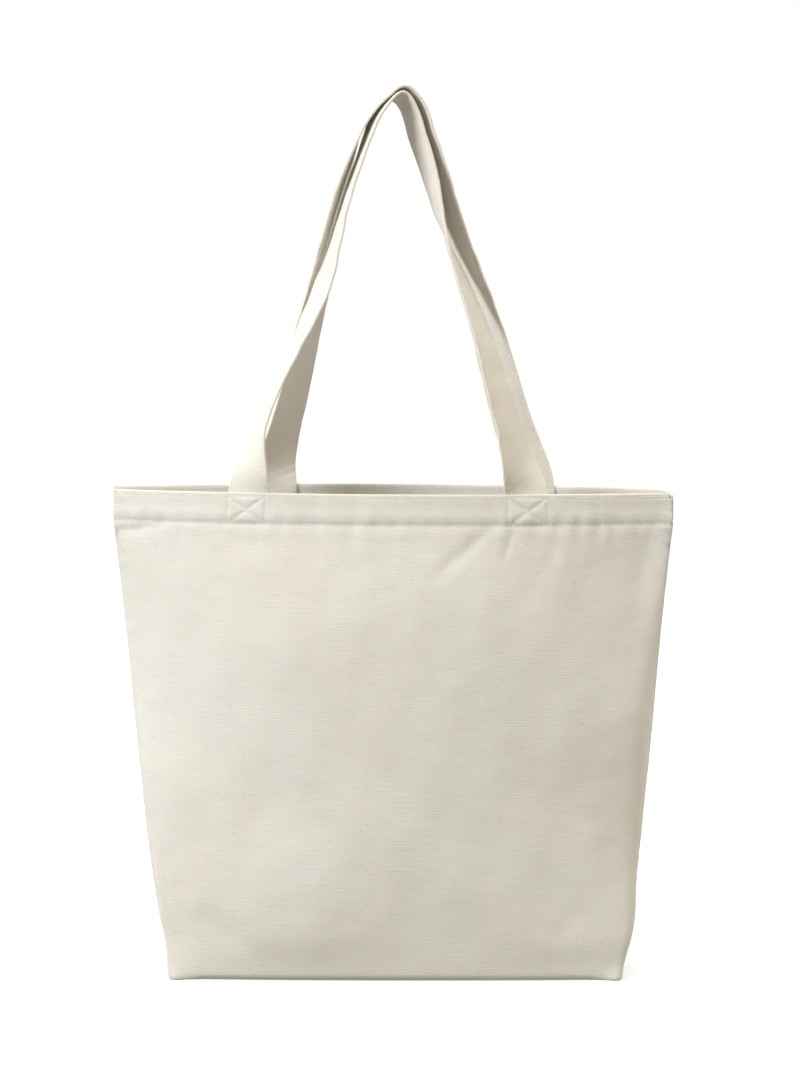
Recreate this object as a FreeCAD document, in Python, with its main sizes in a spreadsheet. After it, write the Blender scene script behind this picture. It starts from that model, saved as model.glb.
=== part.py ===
"""Canvas tote bag with two carrying handles, as a parametric FreeCAD document.

Millimetres. X runs across the bag, -Y is the front, +Z is up, and the origin is
the middle of the base. The bag stands open: its mouth is a lens between two
shallow arcs, its base is a rectangle with boxed corners.
"""
import FreeCAD
import Part

import math
import os

import Sketcher
from FreeCAD import Vector

doc = FreeCAD.newDocument("ToteBag")

# Driving dimensions -----------------------------------------------------------

SIZES = [
    ("rim_width", 480.0),            # mouth, side seam to side seam
    ("rim_depth", 84.0),             # mouth, front to back in the middle
    ("base_width", 384.0),
    ("base_depth", 96.0),            # set by the boxed corners
    ("belly_depth", 108.0),          # the fullest depth, half way up
    ("body_height", 412.0),          # floor to rim
    ("hem_height", 29.0),
    ("cloth_thickness", 1.0),        # one layer of canvas
    ("hem_thickness", 3.0),          # three layers: a double fold
    ("ply_gap", 0.1),                # between layers that are sewn together
    ("seam_allowance", 10.0),
    ("strap_width", 36.0),
    ("strap_thickness", 2.4),        # four layers, pressed
    ("handle_spread", 236.0),        # between the middles of the front strap's ends
    ("back_closer", 11.0),           # the back strap's ends are nearer by this much
    ("front_shift", -2.5),           # both straps are sewn a little off the middle
    ("back_shift", 7.5),
    ("handle_rise", 332.0),          # rim to the middle of the lower strap at the top
    ("nest_clearance", 2.6),         # between the two straps at the top
    ("loop_start", 0.4),             # where the free strap begins above the rim
    ("thread_width", 0.8),
    ("box_width", 33.0),             # the box of stitches that holds a strap's end
    ("box_height", 24.0),
    ("edge_margin", 2.6),            # stitch row to the edge of the cloth
    ("overlock_width", 5.0),
]

sheet = doc.addObject("Spreadsheet::Sheet", "Sizes")
for row, (alias, value) in enumerate(SIZES, start=1):
    sheet.set(f"A{row}", alias)
    sheet.set(f"B{row}", str(value))
    sheet.setAlias(f"B{row}", alias)
doc.recompute()


def size(alias):
    return float(getattr(sheet, alias))


def cell(text):
    """Put the sheet's name in front of every alias in an expression."""
    for alias in sorted((name for name, _ in SIZES), key=len, reverse=True):
        text = text.replace(f"[{alias}]", f"Sizes.{alias}")
    return text


def number(text):
    """The value of such an expression, for a sketch's first guess."""
    return float(sheet.evalExpression(cell(text)))


def bind(thing, settings):
    for path, text in settings.items():
        thing.setExpression(path, cell(text))


# Shapes that several pieces share ----------------------------------------------

HEM_FOOT = "([body_height] - [hem_height])"
RIM_HALF = "([rim_width] / 2)"
RIM_SAG = "([rim_depth] / 2)"
# The rim is an arc through both side seams and the middle of the panel.
RIM_RADIUS = f"(({RIM_HALF} * {RIM_HALF} + {RIM_SAG} * {RIM_SAG}) / (2 * {RIM_SAG}))"
RIM_CENTRE = f"({RIM_RADIUS} - {RIM_SAG})"
HEM_INSIDE = f"({RIM_RADIUS} - [hem_thickness])"

# How much of the depth is a flat side at the base, beside the boxed corners. It
# fades to nothing at the mouth, where the two panels meet at a sharp fold.
SIDE_SHARE = 0.87

FRONT = -1
BACK = 1
SIDE_NAMES = {FRONT: "front", BACK: "back"}
END_SIGNS = {"left": -1, "right": 1}


def origin_plane(body, role):
    for feature in body.Origin.OriginFeatures:
        if feature.Role == role:
            return feature
    raise RuntimeError(f"no plane {role}")


def new_sketch(body, name, role, height="0"):
    sketch = body.newObject("Sketcher::SketchObject", name)
    sketch.AttachmentSupport = [(origin_plane(body, role), "")]
    sketch.MapMode = "FlatFace"
    bind(sketch, {"AttachmentOffset.Base.z": height})
    return sketch


def draw_outline(sketch, corners, arcs=None):
    """A closed outline. corners are (x, y) expressions; arcs maps the index of an
    edge to (radius, bulge): bulge is the sign of y on which the arc bows out."""
    arcs = arcs or {}
    points = [Vector(number(x), number(y), 0) for x, y in corners]
    count = len(points)
    ends = []
    for index in range(count):
        first, last = points[index], points[(index + 1) % count]
        if index in arcs:
            radius_text, bulge = arcs[index]
            radius = number(radius_text)
            half = (last - first).Length / 2
            drop = radius - math.sqrt(radius * radius - half * half)
            middle = (first + last) / 2 + Vector(0, bulge * drop, 0)
            # A sketch's arc always runs anticlockwise.
            anticlockwise = bulge * (last.x - first.x) < 0
            begin, finish = (first, last) if anticlockwise else (last, first)
            sketch.addGeometry(Part.Arc(begin, middle, finish), False)
            ends.append((1, 2) if anticlockwise else (2, 1))
        else:
            sketch.addGeometry(Part.LineSegment(first, last), False)
            ends.append((1, 2))
    for index in range(count):
        after = (index + 1) % count
        sketch.addConstraint(
            Sketcher.Constraint("Coincident", index, ends[index][1], after, ends[after][0]))
    for index, (x, y) in enumerate(corners):
        for kind, text in (("DistanceX", x), ("DistanceY", y)):
            value = points[index].x if kind == "DistanceX" else points[index].y
            place = sketch.addConstraint(
                Sketcher.Constraint(kind, -1, 1, index, ends[index][0], value))
            sketch.setExpression(f"Constraints[{place}]", cell(text))
    for index, (radius_text, _) in arcs.items():
        place = sketch.addConstraint(
            Sketcher.Constraint("Radius", index, number(radius_text)))
        sketch.setExpression(f"Constraints[{place}]", cell(radius_text))
    return sketch


def new_body(label):
    body = doc.addObject("PartDesign::Body", label)
    body.Label = label
    return body


# Panels -------------------------------------------------------------------------

def panel_section(body, name, height, half, straight, depth, side, closing):
    """One level of a panel: a straight run along each side, then a bowed front."""
    bow = f"({depth} - {straight})"
    radius = f"(({half} * {half} + {bow} * {bow}) / (2 * {bow}))"
    sign = "-" if side == FRONT else ""
    sketch = new_sketch(body, name, "XY_Plane", height)
    corners = [
        (f"-{half}", closing),
        (f"-{half}", f"{sign}{straight}"),
        (f"{half}", f"{sign}{straight}"),
        (f"{half}", closing),
    ]
    return draw_outline(sketch, corners, {1: (radius, side)})


PANEL_LEVELS = 5


def make_panel(side):
    """Half of the bag: one face, half of the base and the folded hem."""
    body = new_body(f"{SIDE_NAMES[side]}_panel")
    parting = "(-[ply_gap] / 2)" if side == FRONT else "([ply_gap] / 2)"
    past_parting = "([cloth_thickness])" if side == FRONT else "(-[cloth_thickness])"
    belly = "([belly_depth] / 2 - [base_depth] / 4 - [rim_depth] / 4)"
    skin, room = [], []
    for level in range(PANEL_LEVELS):
        up = level / (PANEL_LEVELS - 1)
        name = f"{body.Label}_level_{level}"
        height = f"({HEM_FOOT} * {up})"
        half = f"([base_width] / 2 * {1 - up} + [rim_width] / 2 * {up})"
        depth = (f"([base_depth] / 2 * {1 - up} + {RIM_SAG} * {up}"
                 f" + {belly} * {4 * up * (1 - up)})")
        straight = f"({depth} * {SIDE_SHARE * (1 - up)} + 1.5 * [cloth_thickness])"
        skin.append(panel_section(
            body, name, height, half, straight, depth, side, parting))
        # Near the side seams of the mouth the cloth runs at a slant, so one
        # thickness of cloth takes up more of the width there.
        bow = f"({depth} - {straight})"
        slant = f"(({half} * {half} + {bow} * {bow}) / (2 * {half} * {bow}))"
        wall = f"[cloth_thickness] * (1 + ({slant} - 1) * {up ** 4})"
        room.append(panel_section(
            body, f"{name}_room", height if level else "[cloth_thickness]",
            f"({half} - {wall})", f"({straight} - [cloth_thickness])",
            f"({depth} - [cloth_thickness])", side, past_parting))

    outer = body.newObject("PartDesign::AdditiveLoft", f"{body.Label}_outside")
    outer.Profile = skin[0]
    outer.Sections = skin[1:]
    outer.Ruled = True

    hem = body.newObject("PartDesign::Pad", f"{body.Label}_hem")
    hem.Profile = skin[-1]
    bind(hem, {"Length": "[hem_height]"})

    inner = body.newObject("PartDesign::SubtractiveLoft", f"{body.Label}_inside")
    inner.Profile = room[0]
    inner.Sections = room[1:]
    inner.Ruled = True

    mouth = new_sketch(body, f"{body.Label}_mouth", "XY_Plane", "[body_height]")
    reach = (f"sqrt({HEM_INSIDE} * {HEM_INSIDE} - "
             f"({RIM_CENTRE} - [cloth_thickness]) * ({RIM_CENTRE} - [cloth_thickness]))")
    draw_outline(mouth, [(f"-{reach}", past_parting), (f"{reach}", past_parting)],
                 {0: (HEM_INSIDE, side)})
    opening = body.newObject("PartDesign::Pocket", f"{body.Label}_opening")
    opening.Profile = mouth
    bind(opening, {"Length": "[hem_height]"})

    allowance = new_sketch(body, f"{body.Label}_allowance", "XZ_Plane",
                           "[ply_gap] / 2" if side == FRONT else
                           "-[ply_gap] / 2 - [cloth_thickness]")
    lean = f"(([rim_width] - [base_width]) / 2 / {HEM_FOOT} * [seam_allowance])"
    outline = [
        ("-[base_width] / 2", "0"),
        ("[base_width] / 2", "0"),
        (RIM_HALF, HEM_FOOT),
        (RIM_HALF, "[body_height]"),
        (f"({RIM_HALF} - [seam_allowance])", "[body_height]"),
        (f"({RIM_HALF} - [seam_allowance])", HEM_FOOT),
        (f"([base_width] / 2 - [seam_allowance] + {lean})", "[seam_allowance]"),
        (f"(-[base_width] / 2 + [seam_allowance] - {lean})", "[seam_allowance]"),
        (f"([seam_allowance] - {RIM_HALF})", HEM_FOOT),
        (f"([seam_allowance] - {RIM_HALF})", "[body_height]"),
        (f"(-{RIM_HALF})", "[body_height]"),
        (f"(-{RIM_HALF})", HEM_FOOT),
    ]
    draw_outline(allowance, outline)
    flange = body.newObject("PartDesign::Pad", f"{body.Label}_seam_allowance")
    flange.Profile = allowance
    bind(flange, {"Length": "[cloth_thickness]"})
    body.Tip = flange
    return body


# Straps -------------------------------------------------------------------------

# A strap is sewn to the inside of the hem at both ends. Each stop along it, from
# its left end to its right end, gives where the middle of the strap is and how its
# width is turned: across as a share of the spread, outwards as a share of a depth,
# up as a share of the rise, and the turn of the width about Z in degrees. The depth
# goes from the rim's own half depth at the rim to a multiple of the strap's width
# half way up, above which it is the two straps' widths that keep them apart.
TOP_DEPTH = 7 / 6
FRONT_STOPS = [
    (-0.485, 0.70, 0.055, -34),
    (-0.466, 0.65, 0.135, -64),
    (-0.413, 0.56, 0.245, -72),
    (-0.307, 0.44, 0.405, -66),
    (-0.242, 0.36, 0.510, -61),
    (-0.200, 0.31, 0.605, -67),
    (-0.150, 0.26, 0.735, -76),
    (-0.102, 0.22, 0.835, -78),
    (-0.064, 0.19, 0.920, -72),
    (-0.020, 0.12, 0.980, -67),
    (0.028, 0.02, 1.000, -64),
    (0.065, -0.06, 0.972, -62),
    (0.096, -0.10, 0.905, -61),
    (0.130, -0.07, 0.835, -63),
    (0.174, 0.03, 0.722, -73),
    (0.225, 0.17, 0.608, -90),
    (0.293, 0.31, 0.488, -104),
    (0.349, 0.43, 0.377, -112),
    (0.399, 0.54, 0.254, -119),
    (0.451, 0.63, 0.130, -128),
    (0.479, 0.69, 0.055, -145),
]
BACK_STOPS = [
    (-0.497, 0.72, 0.050, 206),
    (-0.480, 0.69, 0.105, 220),
    (-0.440, 0.62, 0.200, 231),
    (-0.402, 0.55, 0.295, 236),
    (-0.364, 0.46, 0.405, 240),
    (-0.302, 0.32, 0.565, 250),
    (-0.253, 0.16, 0.715, 264),
    (-0.200, 0.02, 0.825, 276),
    (-0.153, -0.07, 0.905, 284),
    (-0.105, -0.08, 0.958, 290),
    (-0.055, -0.05, 0.990, 294),
    (-0.008, 0.02, 1.000, 296),
    (0.038, 0.10, 0.981, 297),
    (0.066, 0.14, 0.945, 298),
    (0.086, 0.17, 0.900, 299),
    (0.124, 0.20, 0.825, 300),
    (0.171, 0.27, 0.713, 303),
    (0.238, 0.37, 0.565, 313),
    (0.314, 0.48, 0.413, 323),
    (0.375, 0.59, 0.263, 335),
    (0.445, 0.69, 0.112, 346),
]
# At the top the width's front edge is tipped up, so that the upper strap can slide
# off the lower one as either handle is turned outwards.
TOP_TIP = 8.0


def spread_of(side):
    return "[handle_spread]" if side == FRONT else "([handle_spread] - [back_closer])"


def rise_of(side):
    # The back strap lies over the front one at the top.
    if side == FRONT:
        return "[handle_rise]"
    return "([handle_rise] + [strap_thickness] + [nest_clearance])"


def end_angle(side, end):
    """Where a strap's end sits on the rim's arc, degrees from its middle."""
    name = SIDE_NAMES[side]
    place = f"([{name}_shift] + {END_SIGNS[end]} * {spread_of(side)} / 2)"
    return f"(asin({place} / {RIM_RADIUS}))"


def strap_stops(side):
    """The middle of the strap and its turn, at every stop from left to right."""
    name = SIDE_NAMES[side]
    sag, radius = number(RIM_SAG), number(RIM_RADIUS)
    spread, shift = number(spread_of(side)), size(f"{name}_shift")
    rim, rise = size("body_height"), number(rise_of(side))
    stops = []
    for across, forward, up, turn in (FRONT_STOPS if side == FRONT else BACK_STOPS):
        free = min(1, 2 * up)
        depth = sag * (1 - free) + TOP_DEPTH * size("strap_width") * free
        stops.append((Vector(shift + spread * across, side * depth * forward,
                             rim + rise * up), turn))
    # Both ends stand flat behind the hem, straight above the sewn ends.
    middle = number(f"({HEM_INSIDE} - [ply_gap] - [strap_thickness] / 2)")
    for end, flat, place in (("left", 0, 0), ("right", 180, len(stops) + 1)):
        angle = math.asin((shift + END_SIGNS[end] * spread / 2) / radius)
        foot = Vector(middle * math.sin(angle),
                      side * (middle * math.cos(angle) - number(RIM_CENTRE)),
                      rim + size("loop_start"))
        facing = side * flat + (180 if side == BACK else 0)
        stops.insert(place, (foot, facing - side * math.degrees(angle)))
    return stops


def strap_frames(side):
    """At every stop of a strap: its middle, the way its width runs and the way its
    thickness runs."""
    stops = strap_stops(side)
    last = len(stops) - 1
    highest = max(range(len(stops)), key=lambda index: stops[index][0].z)
    frames = []
    for index, (middle, turn) in enumerate(stops):
        along = stops[min(index + 1, last)][0] - stops[max(index - 1, 0)][0]
        along.normalize()
        if index in (0, last):
            along = Vector(0, 0, 1 if index == 0 else -1)
        heading = math.radians(turn)
        width = Vector(math.cos(heading), math.sin(heading), 0)
        if index == highest:
            width.z = math.tan(math.radians(TOP_TIP))
        width = (width - along * width.dot(along)).normalize()
        frames.append((middle, width, along.cross(width).normalize()))
    return frames


def strap_band(side, offset, wide, thick):
    """A band that follows a strap. Its corners draw four smooth curves, and between
    two stops each pair of neighbouring curves is joined by one face. offset is
    sideways from the strap's middle."""
    frames = strap_frames(side)
    places = [0.0]
    for (middle, _, _), (following, _, _) in zip(frames, frames[1:]):
        places.append(places[-1] + (following - middle).Length)
    curves = []
    for across, through in ((-1, -1), (1, -1), (1, 1), (-1, 1)):
        curve = Part.BSplineCurve()
        curve.interpolate(
            Points=[middle + width * (offset + across * wide / 2) + depth * (through * thick / 2)
                    for middle, width, depth in frames],
            Parameters=places)
        curves.append(curve)
    faces = []
    for place, following in zip(places, places[1:]):
        edges = [curve.toShape(place, following) for curve in curves]
        faces += [Part.makeRuledSurface(edges[index - 1], edges[index]) for index in range(4)]
    for place in (places[0], places[-1]):
        corners = [curve.value(place) for curve in curves]
        faces.append(Part.Face(Part.makePolygon(corners + corners[:1])))
    shell = Part.makeShell(faces)
    shell.sewShape()
    solid = Part.makeSolid(shell)
    if solid.Volume < 0:
        solid.reverse()
    return solid


def make_handle(side):
    strap = doc.addObject("Part::Feature", f"{SIDE_NAMES[side]}_handle")
    strap.Label = f"{SIDE_NAMES[side]}_handle"
    strap.Shape = strap_band(side, 0, size("strap_width"), size("strap_thickness"))
    return strap


def make_handle_stitching(side):
    """Two rows of stitches, one along each edge of the free strap."""
    rows = doc.addObject("Part::Feature", f"{SIDE_NAMES[side]}_handle_stitching")
    rows.Label = f"{SIDE_NAMES[side]}_handle_stitching"
    inset = size("strap_width") / 2 - size("edge_margin")
    thick = size("strap_thickness") + size("thread_width") / 2
    rows.Shape = Part.makeCompound([
        strap_band(side, offset, size("thread_width"), thick) for offset in (-inset, inset)])
    return rows


def arc_band(label, side, outer, inner, foot, tall, start, span):
    """A piece of the rim's arc: outer and inner radius, foot height and height, its
    first angle from the middle of the panel and its span, degrees."""
    facing = -90 if side == FRONT else 90
    rings = []
    for part, radius in (("outer", outer), ("inner", inner)):
        ring = doc.addObject("Part::Cylinder", f"{label}_{part}")
        bind(ring, {
            "Radius": radius,
            "Height": tall,
            "Angle": span,
            "Placement.Base.y": f"{-side} * {RIM_CENTRE}",
            "Placement.Base.z": foot,
            "Placement.Rotation.Angle": f"{facing} deg + {start}",
        })
        rings.append(ring)
    band = doc.addObject("Part::Cut", label)
    band.Base, band.Tool = rings
    band.Label = label
    return band


def make_handle_end(side, end):
    """The end of a strap, flat against the inside of the hem and sewn to it."""
    outer = f"({HEM_INSIDE} - [ply_gap])"
    wide = f"(2 * asin([strap_width] / 2 / {outer}))"
    toward = -side
    return arc_band(
        f"{SIDE_NAMES[side]}_handle_end_{end}", side, outer,
        f"({outer} - [strap_thickness])", f"({HEM_FOOT} + [ply_gap])",
        "([hem_height] - 2 * [ply_gap])",
        f"{toward} * {end_angle(side, end)} - {wide} / 2", wide)


# Stitches and seams ---------------------------------------------------------------

def make_row(label, side, foot):
    """A row of stitches round one side of the hem, half sunk in the cloth."""
    half = f"(asin(({RIM_HALF} - [seam_allowance]) / {RIM_RADIUS}))"
    return arc_band(
        label, side, f"({RIM_RADIUS} + [thread_width] / 2)",
        f"({RIM_RADIUS} - [thread_width] / 2)", foot, "[thread_width]",
        f"(-{half})", f"(2 * {half})")


def make_box_stitch(side, end):
    """A box with a cross in it, through the hem and the strap's end."""
    label = f"{SIDE_NAMES[side]}_box_stitch_{end}"
    slope = "atan([box_height] / [box_width])"
    across = "sqrt([box_width] * [box_width] + [box_height] * [box_height])"
    middle = "([body_height] - [hem_height] / 2)"
    facing = f"({-side} * {end_angle(side, end)})"
    bars = []
    for bar, length, shift_x, shift_z, turn in (
            ("top", "[box_width]", "0", "[box_height] / 2", None),
            ("bottom", "[box_width]", "0", "-[box_height] / 2", None),
            ("left", "[box_height]", "-[box_width] / 2", "0", "90"),
            ("right", "[box_height]", "[box_width] / 2", "0", "90"),
            ("rising", across, "0", "0", slope),
            ("falling", across, "0", "0", f"-{slope}")):
        body = new_body(f"{label}_{bar}")
        sketch = new_sketch(body, f"{label}_{bar}_outline", "XZ_Plane",
                            "-[thread_width] / 2")
        reach = f"({length} / 2 + [thread_width] / 2)"
        draw_outline(sketch, [
            (f"-{reach}", "-[thread_width] / 2"), (reach, "-[thread_width] / 2"),
            (reach, "[thread_width] / 2"), (f"-{reach}", "[thread_width] / 2")])
        pad = body.newObject("PartDesign::Pad", f"{label}_{bar}_pad")
        pad.Profile = sketch
        bind(pad, {"Length": "[thread_width]"})
        body.Tip = pad
        body.Placement = FreeCAD.Placement(Vector(), FreeCAD.Rotation(Vector(0, -1, 0), 0))
        bind(body, {"Placement.Base.x": shift_x, "Placement.Base.z": shift_z})
        if turn:
            body.Placement = FreeCAD.Placement(
                Vector(), FreeCAD.Rotation(Vector(0, -1, 0), 1))
            bind(body, {"Placement.Rotation.Angle": turn})
        bars.append(body)
    box = doc.addObject("Part::MultiFuse", label)
    box.Shapes = bars
    box.Label = label
    bind(box, {
        "Placement.Base.x": f"{RIM_RADIUS} * sin({end_angle(side, end)})",
        "Placement.Base.y": f"{side} * ({RIM_RADIUS} * cos({end_angle(side, end)})"
                            f" - {RIM_CENTRE})",
        "Placement.Base.z": middle,
        "Placement.Rotation.Angle": facing,
    })
    return box


def make_side_seam(end):
    """Overlock stitches that bind both panels' allowances up one side."""
    label = f"side_seam_{end}"
    sign = END_SIGNS[end]
    body = new_body(label)
    sketches = []
    for level, height, half in (
            ("low", "([seam_allowance] * 1.3)", None),
            ("high", f"({HEM_FOOT} - [ply_gap])", None)):
        edge = (f"([base_width] / 2 + ([rim_width] - [base_width]) / 2 * {height} /"
                f" {HEM_FOOT} - [seam_allowance])")
        inside = f"({sign} * ({edge} - [thread_width]))"
        outside = f"({sign} * ({edge} - [thread_width] + [overlock_width]))"
        thick = "([cloth_thickness] + [ply_gap] / 2 + [thread_width] / 2)"
        sketch = new_sketch(body, f"{label}_{level}", "XY_Plane", height)
        draw_outline(sketch, [(inside, f"-{thick}"), (outside, f"-{thick}"),
                              (outside, thick), (inside, thick)])
        sketches.append(sketch)
    loft = body.newObject("PartDesign::AdditiveLoft", f"{label}_loft")
    loft.Profile = sketches[0]
    loft.Sections = sketches[1:]
    loft.Ruled = True
    body.Tip = loft
    return body


def make_box(label, low, high):
    box = doc.addObject("Part::Box", label)
    box.Label = label
    bind(box, {
        "Length": f"({high[0]}) - ({low[0]})",
        "Width": f"({high[1]}) - ({low[1]})",
        "Height": f"({high[2]}) - ({low[2]})",
        "Placement.Base.x": low[0],
        "Placement.Base.y": low[1],
        "Placement.Base.z": low[2],
    })
    return box


def make_bottom_seam():
    """Overlock stitches along the allowances that stand up from the base."""
    end = "([base_width] / 2 - 2 * [seam_allowance])"
    thick = "([cloth_thickness] + [ply_gap] / 2 + [thread_width] / 2)"
    top = "[seam_allowance] + [thread_width]"
    return make_box("bottom_seam", (f"-{end}", f"-{thick}", f"{top} - [overlock_width]"),
                    (end, thick, top))


def make_corner_seam(end):
    """Overlock stitches across one boxed corner, where the side meets the base."""
    reach = "([base_depth] / 2 * 0.9 - [cloth_thickness])"
    outer = "([base_width] / 2 - [cloth_thickness] - [ply_gap])"
    inner = f"({outer} - [cloth_thickness] * 2 - [thread_width])"
    foot = "[cloth_thickness] + [ply_gap]"
    top = f"{foot} + [overlock_width]"
    if end == "left":
        low, high = f"-{outer}", f"-{inner}"
    else:
        low, high = inner, outer
    return make_box(f"corner_seam_{end}", (low, f"-{reach}", foot), (high, reach, top))


# The bag --------------------------------------------------------------------------

nodes = []
for side in (FRONT, BACK):
    name = SIDE_NAMES[side]
    nodes.append(make_panel(side))
    nodes.append(make_handle(side))
    nodes.append(make_handle_stitching(side))
    nodes.append(make_row(f"{name}_hem_stitch", side,
                          f"({HEM_FOOT} + [edge_margin])"))
    nodes.append(make_row(f"{name}_rim_stitch", side,
                          "([body_height] - [edge_margin] - [thread_width])"))
    for end in END_SIGNS:
        nodes.append(make_handle_end(side, end))
        nodes.append(make_box_stitch(side, end))
for end in END_SIGNS:
    nodes.append(make_side_seam(end))
    nodes.append(make_corner_seam(end))
nodes.append(make_bottom_seam())

doc.recompute()
for thing in doc.Objects:
    if "Invalid" in thing.State or "Error" in thing.State:
        raise RuntimeError(f"{thing.Label} failed: {thing.State}")

os.makedirs("parts", exist_ok=True)
for node in nodes:
    shape = node.Shape
    if shape.isNull() or not shape.isValid() or not shape.Solids:
        raise RuntimeError(f"{node.Label} has no valid solid")
    shape.exportStep(f"parts/{node.Label}.step")
    box = shape.BoundBox
    print(f"{node.Label:28s} solids {len(shape.Solids)} volume {shape.Volume:10.1f}"
          f"  x {box.XMin:7.1f} {box.XMax:7.1f}  y {box.YMin:6.1f} {box.YMax:6.1f}"
          f"  z {box.ZMin:6.1f} {box.ZMax:6.1f}")
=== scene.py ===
import math

import bpy
import numpy as np
from bpy.props import FloatProperty, FloatVectorProperty, PointerProperty
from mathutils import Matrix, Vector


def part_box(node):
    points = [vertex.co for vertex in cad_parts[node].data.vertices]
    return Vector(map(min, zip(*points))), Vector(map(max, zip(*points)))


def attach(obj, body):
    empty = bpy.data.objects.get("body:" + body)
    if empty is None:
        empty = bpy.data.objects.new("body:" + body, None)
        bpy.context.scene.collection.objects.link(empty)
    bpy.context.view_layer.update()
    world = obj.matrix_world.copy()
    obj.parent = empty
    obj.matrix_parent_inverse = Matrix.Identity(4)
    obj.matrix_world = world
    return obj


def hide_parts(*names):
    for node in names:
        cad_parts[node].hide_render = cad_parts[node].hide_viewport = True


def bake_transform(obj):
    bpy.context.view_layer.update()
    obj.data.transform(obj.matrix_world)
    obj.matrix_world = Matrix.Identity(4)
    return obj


bl_info = {
    "name": "Canvas tote bag",
    "version": (1, 0, 0),
    "blender": (4, 5, 0),
    "location": "3D View > Sidebar > Tote bag",
    "description": "A standing canvas tote bag with two carrying straps, sewn from sheets of cloth",
    "category": "Add Mesh",
}

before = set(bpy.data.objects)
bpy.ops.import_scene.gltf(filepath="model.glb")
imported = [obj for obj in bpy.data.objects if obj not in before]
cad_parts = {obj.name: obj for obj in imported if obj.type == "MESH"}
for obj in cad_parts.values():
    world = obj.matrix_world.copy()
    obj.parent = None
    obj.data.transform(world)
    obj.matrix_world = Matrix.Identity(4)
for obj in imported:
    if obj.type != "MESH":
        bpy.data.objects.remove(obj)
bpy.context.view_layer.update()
MM = 0.001

FRONT = -1
BACK = 1
SIDE_NAMES = {FRONT: "front", BACK: "back"}
END_SIGNS = {"left": -1, "right": 1}


def box_mm(node):
    low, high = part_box(node)
    return np.array(low) / MM, np.array(high) / MM


PANEL_HIGH = box_mm("front_panel")[1]
HEM_STITCH_LOW, HEM_STITCH_HIGH = box_mm("front_hem_stitch")
RIM_STITCH_LOW, RIM_STITCH_HIGH = box_mm("front_rim_stitch")
CORNER_LOW, CORNER_HIGH = box_mm("corner_seam_right")
BOTTOM_LOW, BOTTOM_HIGH = box_mm("bottom_seam")
SEAM_LOW, SEAM_HIGH = box_mm("side_seam_right")

# Millimetres, as cut and sewn.
HEIGHT = PANEL_HIGH[2]
RIM_HALF = PANEL_HIGH[0]
HEM = 29.0
HEM_FOOT = HEIGHT - HEM
RIM_SAG = 42.0             # how far each rim stands out at its middle
BASE_HALF = 192.0
BASE_DEPTH = 48.0          # one panel's half of the base
BELLY = 9.0                # how far each panel is fuller half way up
SIDE_BULGE = 4.6           # how far the sides stand out between base and hem
SIDE_SHARE = 0.87          # of the base's depth that is flat side wall
BASE_TURN = 4.6            # degrees, against the mouth
BASE_SHIFT = 2.4           # the base's shift along X, against the mouth
BACK_LIFT = 3.2            # how much higher the back rim stands
RIM_SLOPE = 5.5            # how far the rim drops at its right end
EDGE_ROLL = 6.0            # radius of the fold between front and base
EAR = 2.6                  # how far the boxed corners stand out
CLOTH = 1.0
ALLOWANCE = 10.0
HEM_GAP = 1.0              # from one layer of the hem to the next
FLAT_HALF = BASE_HALF + BASE_DEPTH
RIM_RADIUS = (RIM_HALF ** 2 + RIM_SAG ** 2) / (2 * RIM_SAG)
RIM_CENTRE = RIM_RADIUS - RIM_SAG
HEM_PLIES = 3
STRAP_WIDE = 36.0
STRAP_THICK = 2.4
STITCH_ROW = 2.6           # stitch row to the strap's edge
STRAP_STATION = 2.3        # from one cross section of a strap to the next
BOX_WIDE = 33.0
BOX_TALL = 24.0
BOX_PITCH = 2.9
OVERLOCK_WIDE = 5.0
OVERLOCK_THREAD = 0.5
REACH = 0.8                # half the step over which a stitch's direction is taken


# Colours and nodes ---------------------------------------------------------------

def linear(code):
    """An sRGB hex colour as linear RGB."""
    parts = [int(code[i:i + 2], 16) / 255 for i in (1, 3, 5)]
    return [c / 12.92 if c <= 0.04045 else ((c + 0.055) / 1.055) ** 2.4 for c in parts]


def add_node(tree, kind, inputs=(), **settings):
    """One node: inputs pairs a socket's name or number with a value or another socket."""
    node = tree.nodes.new(kind)
    for name, value in settings.items():
        setattr(node, name, value)
    for name, value in inputs:
        if isinstance(value, bpy.types.NodeSocket):
            tree.links.new(value, node.inputs[name])
        else:
            node.inputs[name].default_value = value
    return node


def maths(tree, operation, first, second=0.0, third=0.0):
    node = add_node(tree, "ShaderNodeMath", [(0, first), (1, second), (2, third)],
                    operation=operation)
    return node.outputs[0]


def noise(tree, place, scale, detail, **sockets):
    inputs = [("Vector", place), ("Scale", scale), ("Detail", detail), *sockets.items()]
    return add_node(tree, "ShaderNodeTexNoise", inputs, noise_dimensions="2D").outputs


def stretched(tree, place, across, up):
    scale = ("Scale", (across, up, 1.0))
    return add_node(tree, "ShaderNodeMapping", [("Vector", place), scale]).outputs[0]


def add_part(tree, whole, part, share):
    """whole, with share of how far part is from its middle added."""
    return maths(tree, "MULTIPLY_ADD", maths(tree, "SUBTRACT", part, 0.5), share, whole)


def map_range(tree, value, low, high, first=0.0, last=1.0):
    sockets = ("Value", "From Min", "From Max", "To Min", "To Max")
    inputs = zip(sockets, (value, low, high, first, last))
    return add_node(tree, "ShaderNodeMapRange", inputs).outputs[0]


def new_material(name):
    material = bpy.data.materials.new(name)
    material.use_nodes = True
    material.node_tree.nodes.clear()
    return material, material.node_tree


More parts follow.
